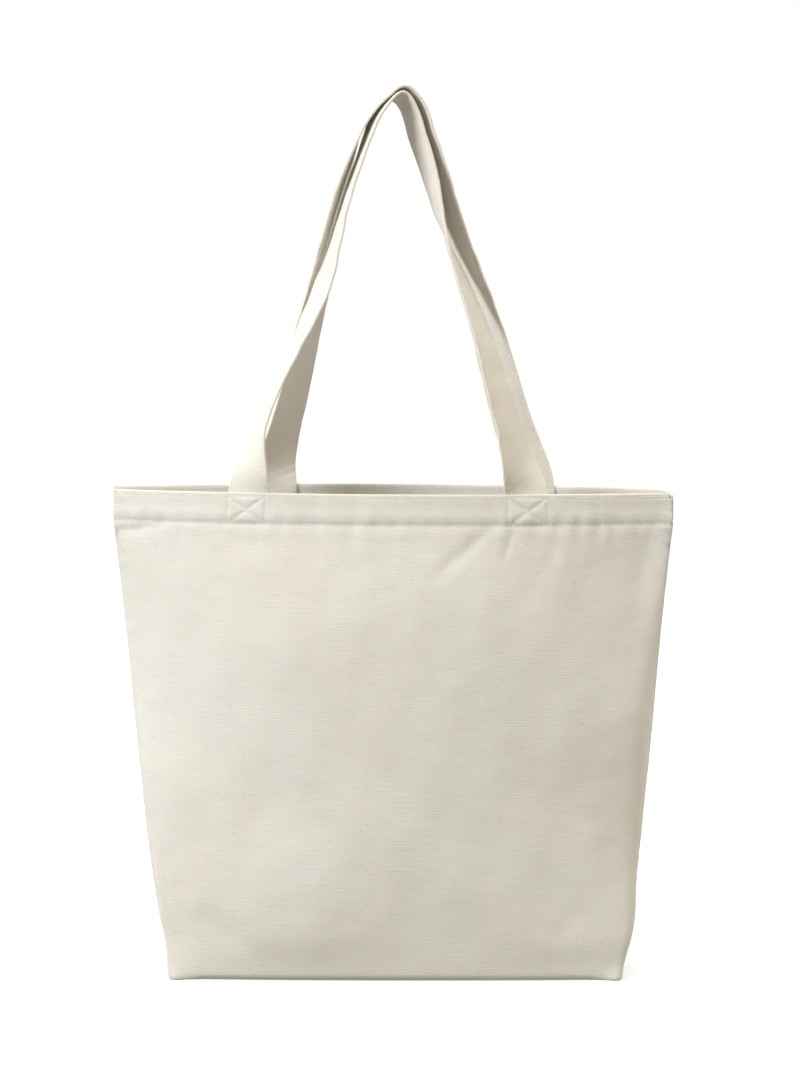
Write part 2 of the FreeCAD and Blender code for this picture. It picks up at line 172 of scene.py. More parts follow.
def shade(tree, colour, height, roughness, sheen, depth_mm, strength, through=0.0):
    bump = add_node(tree, "ShaderNodeBump", [
        ("Height", height), ("Distance", depth_mm * MM), ("Strength", strength)])
    surface = add_node(tree, "ShaderNodeBsdfPrincipled", [
        ("Base Color", colour), ("Roughness", roughness), ("Specular IOR Level", 0.25),
        ("Sheen Weight", sheen), ("Sheen Roughness", 0.6), ("Normal", bump.outputs[0]),
        ("Subsurface Weight", through), ("Subsurface Radius", (1.0, 0.76, 0.45)),
        ("Subsurface Scale", 0.0024)])
    add_node(tree, "ShaderNodeOutputMaterial", [("Surface", surface.outputs[0])])


def woven_cotton(name, colour, pitch, slub, gap_shade, through):
    """Plain weave, drawn on the cloth's own UV map, which is in metres.

    pitch is the thread spacing in millimetres, slub how strongly thick places in the weft show,
    gap_shade how much shade is painted into the gaps between threads, and through how much of
    the light goes into the cloth and some way through it."""
    material, tree = new_material(name)
    place = add_node(tree, "ShaderNodeUVMap", uv_map="cloth").outputs[0]
    # Threads wander a little, so that the weave isn't a perfect grid.
    wander = noise(tree, place, 90.0, 2.0)["Color"]
    shifted = add_node(tree, "ShaderNodeVectorMath", [
        (0, wander), (1, (0.5, 0.5, 0.5))], operation="SUBTRACT")
    moved = add_node(tree, "ShaderNodeVectorMath", [
        (0, shifted.outputs[0]), (1, (0.0008, 0.0008, 0.0)), (2, place)],
        operation="MULTIPLY_ADD")
    parts = add_node(tree, "ShaderNodeSeparateXYZ", [(0, moved.outputs[0])])
    turns = math.pi / (pitch * MM)
    warp = maths(tree, "SINE", maths(tree, "MULTIPLY", parts.outputs[0], turns))
    weft = maths(tree, "SINE", maths(tree, "MULTIPLY", parts.outputs[1], turns))
    over = map_range(tree, maths(tree, "MULTIPLY", warp, weft), -0.3, 0.3)
    weave = add_node(tree, "ShaderNodeMix", [
        (0, over), (2, maths(tree, "ABSOLUTE", warp)),
        (3, maths(tree, "ABSOLUTE", weft))]).outputs[0]
    # Slubs: thick places 20 to 30 mm long in a single weft thread.
    slubs = noise(tree, stretched(tree, place, 45.0, 620.0), 1.0, 3.0, Roughness=0.6)["Fac"]
    streaks = noise(tree, stretched(tree, place, 560.0, 30.0), 1.0, 2.0)["Fac"]
    grain = noise(tree, place, 900.0, 3.0, Roughness=0.7)["Fac"]
    # Neps: specks of seed and knotted fibre, under a millimetre across.
    neps = add_node(tree, "ShaderNodeTexVoronoi", [
        ("Vector", place), ("Scale", 95.0), ("Randomness", 1.0)],
        voronoi_dimensions="2D")
    speck = map_range(tree, neps.outputs["Distance"], 0.035, 0.075, 1.0, 0.0)
    chance = add_node(tree, "ShaderNodeSeparateColor", [
        (0, neps.outputs["Color"])]).outputs[0]
    speck = maths(tree, "MULTIPLY", speck, maths(tree, "GREATER_THAN", chance, 0.86))
    # Value of the colour: painted shade darkens the gaps between threads, and slubs are a little
    # lighter.
    tone = maths(tree, "MULTIPLY_ADD", weave, gap_shade, 1.0 - gap_shade * 0.62)
    for part, share in ((slubs, slub), (streaks, slub * 0.25), (grain, slub)):
        tone = add_part(tree, tone, part, share)
    # The undyed cotton's own colour drifts a little, over a hand's breadth.
    drift = map_range(tree, noise(tree, place, 9.0, 2.0)["Fac"], 0.35, 0.65)
    undyed = add_node(tree, "ShaderNodeMix", [
        (0, drift), (6, linear(colour) + [1.0]),
        (7, [c * t for c, t in zip(linear(colour), (0.998, 0.982, 0.965))] + [1.0])],
        data_type="RGBA").outputs[2]
    base = add_node(tree, "ShaderNodeVectorMath", [(0, undyed), ("Scale", tone)],
                    operation="SCALE").outputs[0]
    speckled = add_node(tree, "ShaderNodeMix", [
        (0, maths(tree, "MULTIPLY", speck, 0.35)), (6, base),
        (7, linear("#8A7350") + [1.0])], data_type="RGBA").outputs[2]
    height = maths(tree, "MULTIPLY_ADD", slubs, 1.6, weave)
    height = maths(tree, "MULTIPLY_ADD", grain, 0.7, height)
    shade(tree, speckled, height, 0.93, 0.12, 0.17, 0.6, through)
    return material


def spun_thread(name, colour):
    """Three-ply sewing thread: a fine twist across the strand, drawn as bumps with painted shade in its
    grooves, and soft gloss.
    """
    material, tree = new_material(name)
    place = add_node(tree, "ShaderNodeTexCoord").outputs["Object"]
    # The twist repeats each 0.9 mm, and is drawn coarser than the real 0.4 mm.
    twist = add_node(tree, "ShaderNodeTexWave", [
        ("Vector", place), ("Scale", 1000 / (0.9 * 6.28)), ("Distortion", 1.5)],
        wave_type="BANDS", bands_direction="DIAGONAL").outputs["Fac"]
    # Painted shade: the colour darkens in the grooves between the plies, along the twist.
    tone = maths(tree, "MULTIPLY_ADD", twist, 0.16, 0.9)
    base = add_node(tree, "ShaderNodeVectorMath", [(0, linear(colour)), ("Scale", tone)],
                    operation="SCALE").outputs[0]
    shade(tree, base, twist, 0.7, 0.1, 0.12, 0.6)
    return material


# Shapes in millimetres -------------------------------------------------------------

def ripples(across, up, waves, seed, short, long):
    """Smooth seeded unevenness, about -1 to 1, with wavelengths from short to long."""
    draw = np.random.RandomState(seed)
    total = np.zeros(np.broadcast(across, up).shape)
    for _ in range(waves):
        turn, phase = draw.uniform(0, 2 * math.pi, 2)
        length = draw.uniform(short, long)
        total += np.sin((across * math.cos(turn) + up * math.sin(turn))
                        * 2 * math.pi / length + phase)
    return total / math.sqrt(waves * 2)


def soft_step(value, low, high):
    share = np.clip((value - low) / (high - low), 0, 1)
    return share * share * (3 - 2 * share)


def hump(value, wide):
    """1 where value is 0, falling away smoothly on both sides."""
    return np.exp(-(value / wide) ** 2)


def crease(across, up, start, end, wide, deep, lean):
    """A fold from start to end. Its depth fades at both ends; lean makes one flank
    rise and the other fall."""
    start, end = np.array(start, float), np.array(end, float)
    along = end - start
    length = math.hypot(*along)
    along /= length
    run = (across - start[0]) * along[0] + (up - start[1]) * along[1]
    off = (across - start[0]) * -along[1] + (up - start[1]) * along[0]
    fade = np.clip(np.sin(math.pi * np.clip(run / length, 0, 1)), 0, 1) ** 0.7
    off = off / wide
    return fade * np.exp(-off * off) * (deep + lean * off)


def merge(parts):
    """Several (vertices, faces) as one."""
    faces, start = [], 0
    for points, polygons in parts:
        faces += [[corner + start for corner in face] for face in polygons]
        start += len(points)
    return np.concatenate([points for points, _ in parts]), faces


def distance_along(points):
    """How far along a line of points each one is."""
    return np.concatenate([[0], np.cumsum(np.linalg.norm(np.diff(points, axis=0), axis=1))])


def uv_grid(across, up):
    return np.stack(np.broadcast_arrays(across, up), 2)


def cloth_part(points, uvs, flip=False):
    """A grid of points as (vertices, faces, uvs)."""
    rows, columns = points.shape[:2]
    faces = []
    for row in range(rows - 1):
        for column in range(columns - 1):
            corner = row * columns + column
            face = [corner, corner + 1, corner + columns + 1, corner + columns]
            faces.append(face[::-1] if flip else face)
    return points.reshape(-1, 3), faces, uvs.reshape(-1, 2)


def new_piece(name, vertices, faces, uvs, material, smooth=60):
    """A mesh object at the origin, from millimetres; its UV map is in metres."""
    mesh = bpy.data.meshes.new(name)
    mesh.from_pydata((np.asarray(vertices) * MM).tolist(), [], faces)
    if uvs is not None:
        layer = mesh.uv_layers.new(name="cloth")
        corners = np.zeros(len(mesh.loops), np.int32)
        mesh.loops.foreach_get("vertex_index", corners)
        layer.data.foreach_set("uv", (np.asarray(uvs)[corners] * MM).ravel())
    mesh.validate()
    mesh.update()
    piece = bpy.data.objects.new(name, mesh)
    bpy.context.collection.objects.link(piece)
    mesh.materials.append(material)
    bpy.ops.object.select_all(action="DESELECT")
    piece.select_set(True)
    bpy.context.view_layer.objects.active = piece
    bpy.ops.object.shade_smooth_by_angle(angle=math.radians(smooth))
    return piece


def thread_piece(name, replaced, points, faces, side=None):
    """A piece of sewing thread. With a side given, its transform is baked into its mesh and it is not
    attached to the bag.
    """
    piece = new_piece(name, points, faces, None, finishes()["thread"])
    if side is None:
        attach(piece, "bag")
    else:
        bend_at_rim(piece)
    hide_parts(replaced)


def add_thickness(piece, thick):
    """Cloth of the real thickness, half each side of the sheet that was drawn."""
    bpy.context.view_layer.objects.active = piece
    modifier = piece.modifiers.new("Thickness", "SOLIDIFY")
    modifier.thickness = thick * MM
    modifier.offset = 0
    modifier.use_even_offset = False
    bpy.ops.object.modifier_apply(modifier=modifier.name)


# The cloth panels --------------------------------------------------------------------

def strap_end_places(side):
    """Where the middles of a strap's two sewn ends are, across the bag."""
    places = []
    for end in END_SIGNS:
        low, high = box_mm(f"{SIDE_NAMES[side]}_handle_end_{end}")
        places.append((low[0] + high[0]) / 2)
    return places


def flat_places(side):
    """The columns of a panel: flat distance from its middle, finer at the boxes."""
    marks = [0.0]
    ends = strap_end_places(side)
    while marks[-1] < FLAT_HALF - 1e-6:
        near = min(abs(marks[-1] - abs(end)) for end in ends)
        step = 1.25 if near < 21 else 2.7
        marks.append(min(marks[-1] + step, FLAT_HALF))
    right = [m for m in marks if abs(m - BASE_HALF) > 1.2]
    right = np.array(sorted(right + [BASE_HALF]))
    return np.concatenate([-right[:0:-1], right])


def side_bulge(height):
    """How far the sides stand out from a straight line, base to hem."""
    return SIDE_BULGE * float(soft_step(height, 6, 56) * (1 - soft_step(height, 90, HEM_FOOT)))


def stand(points):
    """The open bag stands a little twisted: its base is turned against its mouth."""
    points = np.array(points, float)
    up = points[..., 2]
    turn = np.radians(BASE_TURN) * (1 - soft_step(up, 0, 330))
    x, y = points[..., 0].copy(), points[..., 1].copy()
    shift = BASE_SHIFT * (1 - soft_step(up, 0, 220))
    points[..., 0] = x * np.cos(turn) - y * np.sin(turn) + shift
    points[..., 1] = x * np.sin(turn) + y * np.cos(turn)
    return points


def seam_slip(side, flat, up):
    """Near the mouth the right side seam lies a little round to the front, so the
    back panel folds round beyond it. Gives how far across and along Y it moves."""
    high = soft_step(up, 170, 360)
    away = FLAT_HALF - flat
    if side == FRONT:
        x = np.interp(away, (0, 10), (-3.5, 0))
        y = np.interp(away, (0, 10, 26), (-5.5, -2.6, 0))
    else:
        x = np.interp(away, (0, 3, 6, 11, 22), (-3.5, 0.6, 2.2, 2.4, 0))
        y = np.interp(away, (0, 3, 6, 11, 22), (-5.5, -5.2, -3.6, -1.2, 0))
    return high * x, high * y


def section(height, places):
    """One level of a panel: across and outwards, at each flat place."""
    share = min(height / HEM_FOOT, 1.0)
    half = BASE_HALF * (1 - share) + RIM_HALF * share - CLOTH / 2 + side_bulge(height)
    depth = (BASE_DEPTH * (1 - share) + RIM_SAG * share
             + BELLY * 4 * share * (1 - share)) - CLOTH / 2
    straight = (depth * SIDE_SHARE * (1 - share) + 1.5) * (1 - 0.55 * share)
    fine = np.linspace(0, 1, 260)
    arc_x = half * fine
    arc_y = straight + (depth - straight) * (1 - fine ** 2)
    wall_y = np.linspace(straight, CLOTH / 2, 40)[1:]
    x = np.concatenate([arc_x, np.full(len(wall_y), half)])
    y = np.concatenate([arc_y, wall_y])
    run = distance_along(np.stack([x, y], 1))
    even = np.linspace(0, run[-1], 500)
    x, y = np.interp(even, run, x), np.interp(even, run, y)
    # The fold beside the corner is round: tight at the base and soft higher up.
    spread = (2.2 + 11 * float(soft_step(height, 0, 150))) / (even[1] - even[0])
    reach = int(spread * 3)
    if reach > 1:
        kernel = np.exp(-0.5 * (np.arange(-reach, reach + 1) / spread) ** 2)
        kernel /= kernel.sum()
        tail_x = 2 * x[-1] - x[-2:-reach - 2:-1]
        tail_y = 2 * y[-1] - y[-2:-reach - 2:-1]
        x = np.convolve(np.concatenate([-x[reach:0:-1], x, tail_x]), kernel, "valid")
        y = np.convolve(np.concatenate([y[reach:0:-1], y, tail_y]), kernel, "valid")
    run = distance_along(np.stack([x, y], 1))
    at = np.abs(places) / FLAT_HALF * run[-1]
    return np.sign(places) * np.interp(at, run, x), np.interp(at, run, y)


def panel_levels():
    """Each row of a panel: height, how far inside the outer layer, and the flat
    distance up the cloth. The cloth goes up to the rim, over it and down inside to
    the hem's foot, and its raw edge is turned in between the two layers."""
    turns = [math.pi / 2 * step / 5 for step in range(5)]
    levels = [(EDGE_ROLL * (1 - math.cos(turn)), 0.0) for turn in turns]
    levels += [(z, 0.0) for z in np.linspace(EDGE_ROLL, HEM_FOOT - 8, 104)]
    levels += [(z, 0.0) for z in np.linspace(HEM_FOOT - 6.4, HEIGHT - 1.2, 29)]
    top = HEIGHT - CLOTH / 2
    levels += [(top - 0.25, 0.25), (top, 1.0), (top - 0.25, 1.75)]
    levels += [(z, 2 * HEM_GAP) for z in np.linspace(HEIGHT - 1.4, HEM_FOOT + 1.0, 15)]
    levels += [(HEM_FOOT + 0.3, 1.8), (HEM_FOOT + 0.1, 1.5), (HEM_FOOT + 0.3, 1.2)]
    levels += [(z, HEM_GAP) for z in np.linspace(HEM_FOOT + 1.5, HEM_FOOT + 9, 3)]
    rows, flat = [], BASE_DEPTH
    for index, (height, inside) in enumerate(levels):
        if index:
            before = levels[index - 1]
            flat += math.hypot(height - before[0], inside - before[1])
        rows.append((height, inside, flat))
    return rows


# Each crease: start and end on the flat panel, wide, deep, lean.
FRONT_CREASES = [
    ((94, 390), (36, 336), 6.0, -1.3, 1.1),
    ((-57, 418), (-60, 350), 9.0, -0.9, 1.2),
    ((-18, 418), (-24, 356), 10.0, 0.5, 1.4),
    ((-244, 374), (-194, 381), 5.0, -1.8, -1.0),
    ((171, 404), (176, 372), 3.5, -0.9, 0.5),
    ((184, 396), (190, 366), 3.0, -0.6, 0.5),
    ((224, 404), (228, 368), 3.0, -0.7, 0.3),
    ((217, 398), (222, 370), 3.0, -0.7, 0.5),
    ((104, 384), (96, 350), 4.0, -0.7, 0.6),
    ((150, 384), (118, 318), 9.0, -0.5, 0.4),
    ((-150, 384), (-128, 306), 10.0, -0.4, 0.4),
    ((-170, 60), (-120, 30), 12.0, -0.8, 0.6),
    ((172, 64), (128, 26), 12.0, -0.8, 0.6),
]
BACK_CREASES = [
    ((-96, 392), (-52, 336), 6.0, -0.9, 0.7),
    ((60, 414), (64, 350), 8.0, -0.6, 0.6),
    ((228, 388), (192, 362), 5.0, -0.9, 0.5),
    ((-228, 398), (-234, 370), 3.5, -0.7, 0.4),
    ((150, 384), (120, 310), 9.0, -0.5, 0.4),
    ((-168, 62), (-124, 28), 12.0, -0.8, 0.6),
    ((170, 66), (122, 30), 12.0, -0.8, 0.6),
]
CREASES = {FRONT: FRONT_CREASES, BACK: BACK_CREASES}


def box_quilting(across, up, middle):
    """The cloth is drawn in along a box of stitches and its two diagonals, and puffs
    out between them."""
    x = across - middle
    z = up - (HEM_FOOT + HEIGHT) / 2
    wide, tall = BOX_WIDE / 2, BOX_TALL / 2
    far = 99
    edge = np.minimum(np.abs(np.abs(x) - wide) + far * (np.abs(z) > tall + 1),
                      np.abs(np.abs(z) - tall) + far * (np.abs(x) > wide + 1))
    length = math.hypot(wide, tall)
    inside = (np.abs(x) < wide) & (np.abs(z) < tall)
    diagonal = np.minimum(np.abs(x * tall - z * wide), np.abs(x * tall + z * wide)) / length
    diagonal = np.where(inside, diagonal, far)
    near = np.minimum(edge, diagonal)
    puff = 0.5 * inside * (1 - hump(near, 2.4))
    return puff - 0.55 * hump(near, 1.2)


def unevenness(side, across, up):
    """How far the cloth stands out from its plain shape, on the whole grid."""
    seed = 11 if side == FRONT else 47
    away = 1 - soft_step(np.abs(across), FLAT_HALF - 26, FLAT_HALF - 4)
    body = away * soft_step(up, 4, 40)
    hem = soft_step(up, HEM_FOOT - 40, HEM_FOOT + 4)
    sewn = np.zeros(across.shape)
    for middle in strap_end_places(side):
        sewn = np.maximum(sewn, hump(across - middle, 26))
    calm = body * (1 - 0.7 * hem) * (1 - 0.92 * sewn * hem)
    out = 2.6 * calm * ripples(across, up, 7, seed, 150, 330)
    out += 0.8 * calm * ripples(across, up, 9, seed + 1, 50, 120)
    out += 0.16 * body * ripples(across, up, 14, seed + 2, 14, 34)
    for fold in CREASES[side]:
        out += crease(across, up, *fold)
    # The hem's stitch row draws the cloth in, and it puckers beside the row.
    row = (HEM_STITCH_LOW[2] + HEM_STITCH_HIGH[2]) / 2
    beside = hump(up - row, 7.5)
    puckers = ripples(across, 0 * up, 8, seed + 3, 7, 19)
    out += 0.5 * beside * puckers * away - 0.8 * hump(up - row, 1.9)
    below = soft_step(up, row - 60, row - 4) * soft_step(row + 16 - up, 0, 14)
    out += 0.32 * below * away * ripples(across, 0.15 * up, 9, seed + 6, 12, 30)
    out += 0.8 * hump(up - row - 7, 5.5) + 0.35 * hump(up - row + 7, 5)
    rim_row = (RIM_STITCH_LOW[2] + RIM_STITCH_HIGH[2]) / 2
    out -= 0.25 * hump(up - rim_row, 1.3)
    out += 0.12 * hump(up - rim_row, 3) * ripples(across, 0 * up, 6, seed + 4, 6, 15)
    for middle in strap_end_places(side):
        out += box_quilting(across, up, middle)
    # The side seam draws in and puckers too.
    seam = hump(np.abs(across) - FLAT_HALF + 7, 6)
    out += 0.35 * seam * soft_step(up, 10, 40) * ripples(0 * across, up, 8, seed + 5, 9, 26)
    return out


class Panel:
    """A panel's cloth as a grid of places, and where a stitch would lie on it."""

    def __init__(self, side):
        self.side = side
        self.flat = flat_places(side)
        self.levels = panel_levels()
        across = np.array([section(height, self.flat) for height, _, _ in self.levels])
        height = np.array([level[0] for level in self.levels])
        inside = np.array([level[1] for level in self.levels])
        x, y = across[:, 0, :], -across[:, 1, :]
        z = np.repeat(height[:, None], len(self.flat), 1)
        # Bottom edge: rolled along the front, sharp beside the sewn corners.
        front = 1 - soft_step(np.abs(self.flat), BASE_HALF - 30, BASE_HALF - 5)
        roll = 1.2 + 4.8 * front[None, :]
        low = np.clip(1 - z / EDGE_ROLL, 0, 1)
        draw_in = roll * (1 - np.sqrt(np.clip(1 - low ** 2, 0, 1)))
        nx, ny = self.outward(x, y)
        flat_grid = np.repeat(self.flat[None, :], len(height), 0)
        out = unevenness(side, flat_grid, z) - draw_in - inside[:, None]
        # The boxed corners stand out as small ears.
        for corner in (-BASE_HALF, BASE_HALF):
            ear = np.exp(-((flat_grid - corner) / 5.5) ** 2 - (z / 7.5) ** 2)
            out += EAR * ear
        x, y = x + nx * out, y + ny * out
        y = np.minimum(y, -CLOTH / 2)
        z = z + CLOTH / 2 * (1 - soft_step(z, 0, EDGE_ROLL))
        slip_x, slip_y = seam_slip(side, flat_grid, z)
        if side == BACK:
            z = z + BACK_LIFT * soft_step(z, 300, HEIGHT)
        # The right end of the rim slopes down to the seam.
        tip = hump(FLAT_HALF - flat_grid, 5 if side == FRONT else 9)
        z = z - RIM_SLOPE * tip * soft_step(z, HEM_FOOT + 4, HEIGHT)
        self.plain = np.stack([x + slip_x, y * -side + slip_y, z], 2)
        self.grid = stand(self.plain)
        normal = np.cross(np.gradient(self.grid, axis=1), np.gradient(self.grid, axis=0)) * -side
        # Where the clipped rows meet at a seam the length is nothing.
        self.normal = normal / np.maximum(np.linalg.norm(normal, axis=2, keepdims=True), 1e-9)
        self.outer = int(np.argmax(inside > 0))

    @staticmethod
    def outward(x, y):
        dx, dy = np.gradient(x, axis=1), np.gradient(y, axis=1)
        size = np.hypot(dx, dy)
        return dy / size, -dx / size

    def at(self, across, up):
        """A point on the outer face, and the way out from it, at flat places."""
        heights = self.grid[:self.outer, len(self.flat) // 2, 2]
        column = np.interp(across, self.flat, np.arange(len(self.flat)))
        row = np.interp(up, heights, np.arange(self.outer))
        left = np.minimum(column.astype(int), len(self.flat) - 2)
        below = np.minimum(row.astype(int), self.outer - 2)
        right_share = (column - left)[:, None]
        up_share = (row - below)[:, None]

        def mix(field):
            lower = field[below, left] * (1 - right_share) + field[below, left + 1] * right_share
            upper = (field[below + 1, left] * (1 - right_share)
                     + field[below + 1, left + 1] * right_share)
            return lower * (1 - up_share) + upper * up_share

        point, normal = mix(self.grid), mix(self.normal)
        return point + normal * CLOTH / 2, normal


PANELS = {side: Panel(side) for side in (FRONT, BACK)}


def panel_mesh(panel):
    """The panel with its seam allowances, its half of the base and its hem."""
    side, flip = panel.side, panel.side == BACK
    flats = np.array([level[2] for level in panel.levels])
    parts = [cloth_part(panel.plain, uv_grid(panel.flat[None, :], flats[:, None]), flip)]
    # Side seam allowances turn inwards along both edges, up to the hem's foot.
    foot = int(np.argmax(np.array([level[0] for level in panel.levels]) > HEM_FOOT - 1))
    steps = np.array([1.5, 5.5, ALLOWANCE])
    for sign in (-1, 1):
        edge = panel.plain[:foot, 0 if sign < 0 else -1, :]
        strip = [edge + np.array([-sign * 0.2, 0, 0])]
        strip += [edge + np.array([-sign * step, side * 0.06, 1.2]) for step in steps]
        out_from_middle = sign * (FLAT_HALF + np.concatenate([[0], steps]))
        parts.append(cloth_part(np.stack(strip, 1),
                                uv_grid(out_from_middle[None, :], flats[:foot, None]),
                                flip == (sign > 0)))
    # Half of the base, from the front edge back to the bottom seam.
    first = int(np.argmin(np.abs(panel.flat + BASE_HALF)))
    last = len(panel.flat) - 1 - first
    bottom = panel.plain[0]
    front_edge = bottom[first:last + 1]
    base = [front_edge]
    for step in range(1, first + 1):
        left, right = bottom[first - step], bottom[last + step]
        share = (front_edge[:, 0] - front_edge[0, 0]) / (front_edge[-1, 0] - front_edge[0, 0])
        x = left[0] + (right[0] - left[0]) * share
        back = step / first
        y = front_edge[:, 1] * (1 - back) + side * CLOTH / 2 * back
        edge_y = (left[1] + right[1]) / 2
        near_end = np.exp(-np.minimum(share, 1 - share) * 60)
        y = y * (1 - near_end) + edge_y * near_end
        z = CLOTH / 2 + near_end * (left[2] - CLOTH / 2)
        base.append(np.stack([x, y, z], 1))
    seam = base[-1]
    for rise in (2.0, 6.0, ALLOWANCE):
        lift = rise * soft_step(np.minimum(seam[:, 0] - seam[0, 0], seam[-1, 0] - seam[:, 0]),
                                2, 18)
        base.append(seam + np.stack([0 * lift, 0 * lift, lift], 1))
    base_flat = np.concatenate([BASE_DEPTH * (1 - np.arange(first + 1) / first),
                                [-2.0, -6.0, -ALLOWANCE]])
    parts.append(cloth_part(np.stack(base),
                            uv_grid(panel.flat[None, first:last + 1], base_flat[:, None]),
                            not flip))
    # The corner seams' allowances stand up along the inside of both ends.
    depth = np.linspace(2.0, BASE_DEPTH - 6, 18)
    rise = np.array([1.2, 3.4, 5.8])
    for sign in (-1, 1):
        for ply, away in ((0, 1.2), (1, 2.3)):
            strip = np.stack(np.broadcast_arrays(
                sign * (BASE_HALF - 0.9 - away), (side * depth)[:, None], rise[None, :]), 2)
            parts.append(cloth_part(strip, uv_grid(depth[:, None] + 60 * ply, rise[None, :])))
    points, faces = merge([part[:2] for part in parts])
    return stand(points), faces, np.concatenate([part[2] for part in parts])


# The straps ----------------------------------------------------------------------------

# Where each free strap goes, from its left end to its right end: across as a share
# of the spread between its ends, outwards as a share of the depth, up as a share of
# its rise, and the turn of its width about the upright, in degrees.
FRONT_STOPS = [
    (-0.485, 0.70, 0.055, -34), (-0.466, 0.65, 0.135, -64), (-0.413, 0.56, 0.245, -72),
    (-0.307, 0.44, 0.405, -66), (-0.242, 0.36, 0.510, -61), (-0.200, 0.31, 0.605, -67),
    (-0.153, 0.26, 0.735, -74), (-0.106, 0.22, 0.835, -75), (-0.064, 0.19, 0.920, -72),
    (-0.020, 0.12, 0.980, -67), (0.028, 0.02, 1.000, -64), (0.065, -0.06, 0.972, -62),
    (0.096, -0.10, 0.905, -61), (0.130, -0.07, 0.835, -63), (0.174, 0.03, 0.722, -73),
    (0.225, 0.17, 0.608, -90), (0.293, 0.31, 0.488, -104), (0.349, 0.43, 0.377, -112),
    (0.399, 0.54, 0.254, -119), (0.451, 0.63, 0.130, -128), (0.479, 0.69, 0.055, -145),
]
BACK_STOPS = [
    (-0.497, 0.72, 0.050, 206), (-0.480, 0.69, 0.105, 220), (-0.440, 0.62, 0.200, 231),
    (-0.402, 0.55, 0.295, 236), (-0.364, 0.46, 0.405, 240), (-0.302, 0.32, 0.565, 250),
    (-0.249, 0.16, 0.715, 262), (-0.194, 0.02, 0.825, 270), (-0.149, -0.07, 0.905, 281),
    (-0.105, -0.08, 0.958, 290), (-0.055, -0.05, 0.990, 294), (-0.008, 0.02, 1.000, 296),
    (0.038, 0.10, 0.981, 297), (0.066, 0.14, 0.945, 298), (0.086, 0.17, 0.900, 299),
    (0.124, 0.20, 0.825, 300), (0.171, 0.27, 0.713, 303), (0.238, 0.37, 0.565, 313),
    (0.314, 0.48, 0.413, 323), (0.375, 0.59, 0.263, 335), (0.445, 0.69, 0.112, 346),
]
STOPS = {FRONT: FRONT_STOPS, BACK: BACK_STOPS}
LOOP_DEPTH = 42.0          # what the outward shares are of
TOP_TIP = 8.0              # degrees
RISE = {FRONT: 332.0, BACK: 337.0}


def spline_through(places, values, wanted):
    """A natural cubic spline through values at places, read at wanted."""
    count = len(places)
    gaps = np.diff(places)
    system = np.eye(count)
    right = np.zeros((count, values.shape[1]))
    for k in range(1, count - 1):
        system[k, k - 1:k + 2] = gaps[k - 1], 2 * (gaps[k - 1] + gaps[k]), gaps[k]
        right[k] = 6 * ((values[k + 1] - values[k]) / gaps[k]
                        - (values[k] - values[k - 1]) / gaps[k - 1])
    bend = np.linalg.solve(system, right)
    k = np.clip(np.searchsorted(places, wanted) - 1, 0, count - 2)
    gap = gaps[k][:, None]
    late = ((wanted - places[k]) / gaps[k])[:, None]
    early = 1 - late
    return (early * values[k] + late * values[k + 1]
            + ((early ** 3 - early) * bend[k] + (late ** 3 - late) * bend[k + 1])
            * gap * gap / 6)


class Strap:
    """A strap's middle line with the ways its width and thickness run."""

    def __init__(self, side):
        self.side = side
        name = SIDE_NAMES[side]
        ends = [box_mm(f"{name}_handle_end_{end}") for end in END_SIGNS]
        left, right = [(low[0] + high[0]) / 2 for low, high in ends]
        spread, shift = right - left, (right + left) / 2
        inside = RIM_RADIUS - HEM_PLIES - 0.1 - STRAP_THICK / 2
        middles, headings = [], []
        for across, outwards, up, turn in STOPS[side]:
            middles.append((shift + spread * across, side * LOOP_DEPTH * outwards,
                            HEIGHT + RISE[side] * up))
            headings.append(turn)
        for end, sign in END_SIGNS.items():
            angle = math.asin((shift + sign * spread / 2) / RIM_RADIUS)
            foot = (inside * math.sin(angle), side * (inside * math.cos(angle) - RIM_CENTRE))
            flat = 0 if end == "left" else 180
            turn = side * flat + (180 if side == BACK else 0) - side * math.degrees(angle)
            sewn = [(foot[0], foot[1], z) for z in (HEM_FOOT + 1, HEM_FOOT + 15, HEIGHT + 0.4)]
            if end == "left":
                middles, headings = sewn + middles, [turn] * 3 + headings
            else:
                middles, headings = middles + sewn[::-1], headings + [turn] * 3
        middles = np.array(middles)
        headings = np.radians(headings)
        width = np.stack([np.cos(headings), np.sin(headings), 0 * headings], 1)
        highest = int(np.argmax(middles[:, 2]))
        width[highest, 2] = math.tan(math.radians(TOP_TIP))
        run = distance_along(middles)
        self.length = run[-1]
        self.run = np.linspace(0, run[-1], int(run[-1] / STRAP_STATION))
        middle = spline_through(run, middles, self.run)
        width = spline_through(run, width, self.run)
        along = np.gradient(middle, axis=0)
        along /= np.linalg.norm(along, axis=1, keepdims=True)
        width -= along * (width * along).sum(1, keepdims=True)
        width /= np.linalg.norm(width, axis=1, keepdims=True)
        self.middle, self.width, self.depth = middle, width, np.cross(along, width)

    def surface(self, across, through, run):
        """Points on the strap, with the slight waves of pressed, stitched canvas."""
        index = np.interp(run, self.run, np.arange(len(self.run)))
        low = np.minimum(index.astype(int), len(self.run) - 2)
        share = (index - low)[:, None]

        def mix(field):
            return field[low] * (1 - share) + field[low + 1] * share

        free = soft_step(np.minimum(run, self.length - run), 30, 60)
        top = hump(run - self.length / 2, 90)
        wave = 0.35 * free * (1 - 0.8 * top) * ripples(run, across, 8, 5 + self.side, 16, 60)
        edge = 0.3 * free * (np.abs(across) / 18) ** 3 * ripples(
            run, 0 * across, 8, 8 + self.side, 12, 40) * (1 - 0.5 * top)
        # Where it leaves the hem the strap is turned hard, and wrinkles aslant.
        from_end = np.minimum(run, self.length - run)
        bent = hump(from_end - 42, 9)
        wave += 0.55 * bent * np.sin((from_end + 0.35 * across) * 2 * math.pi / 7.5
                                     + 0.06 * across) * soft_step(-across * self.side, -14, 10)
        return (mix(self.middle) + mix(self.width) * across[:, None]
                + mix(self.depth) * (through + wave + edge)[:, None])


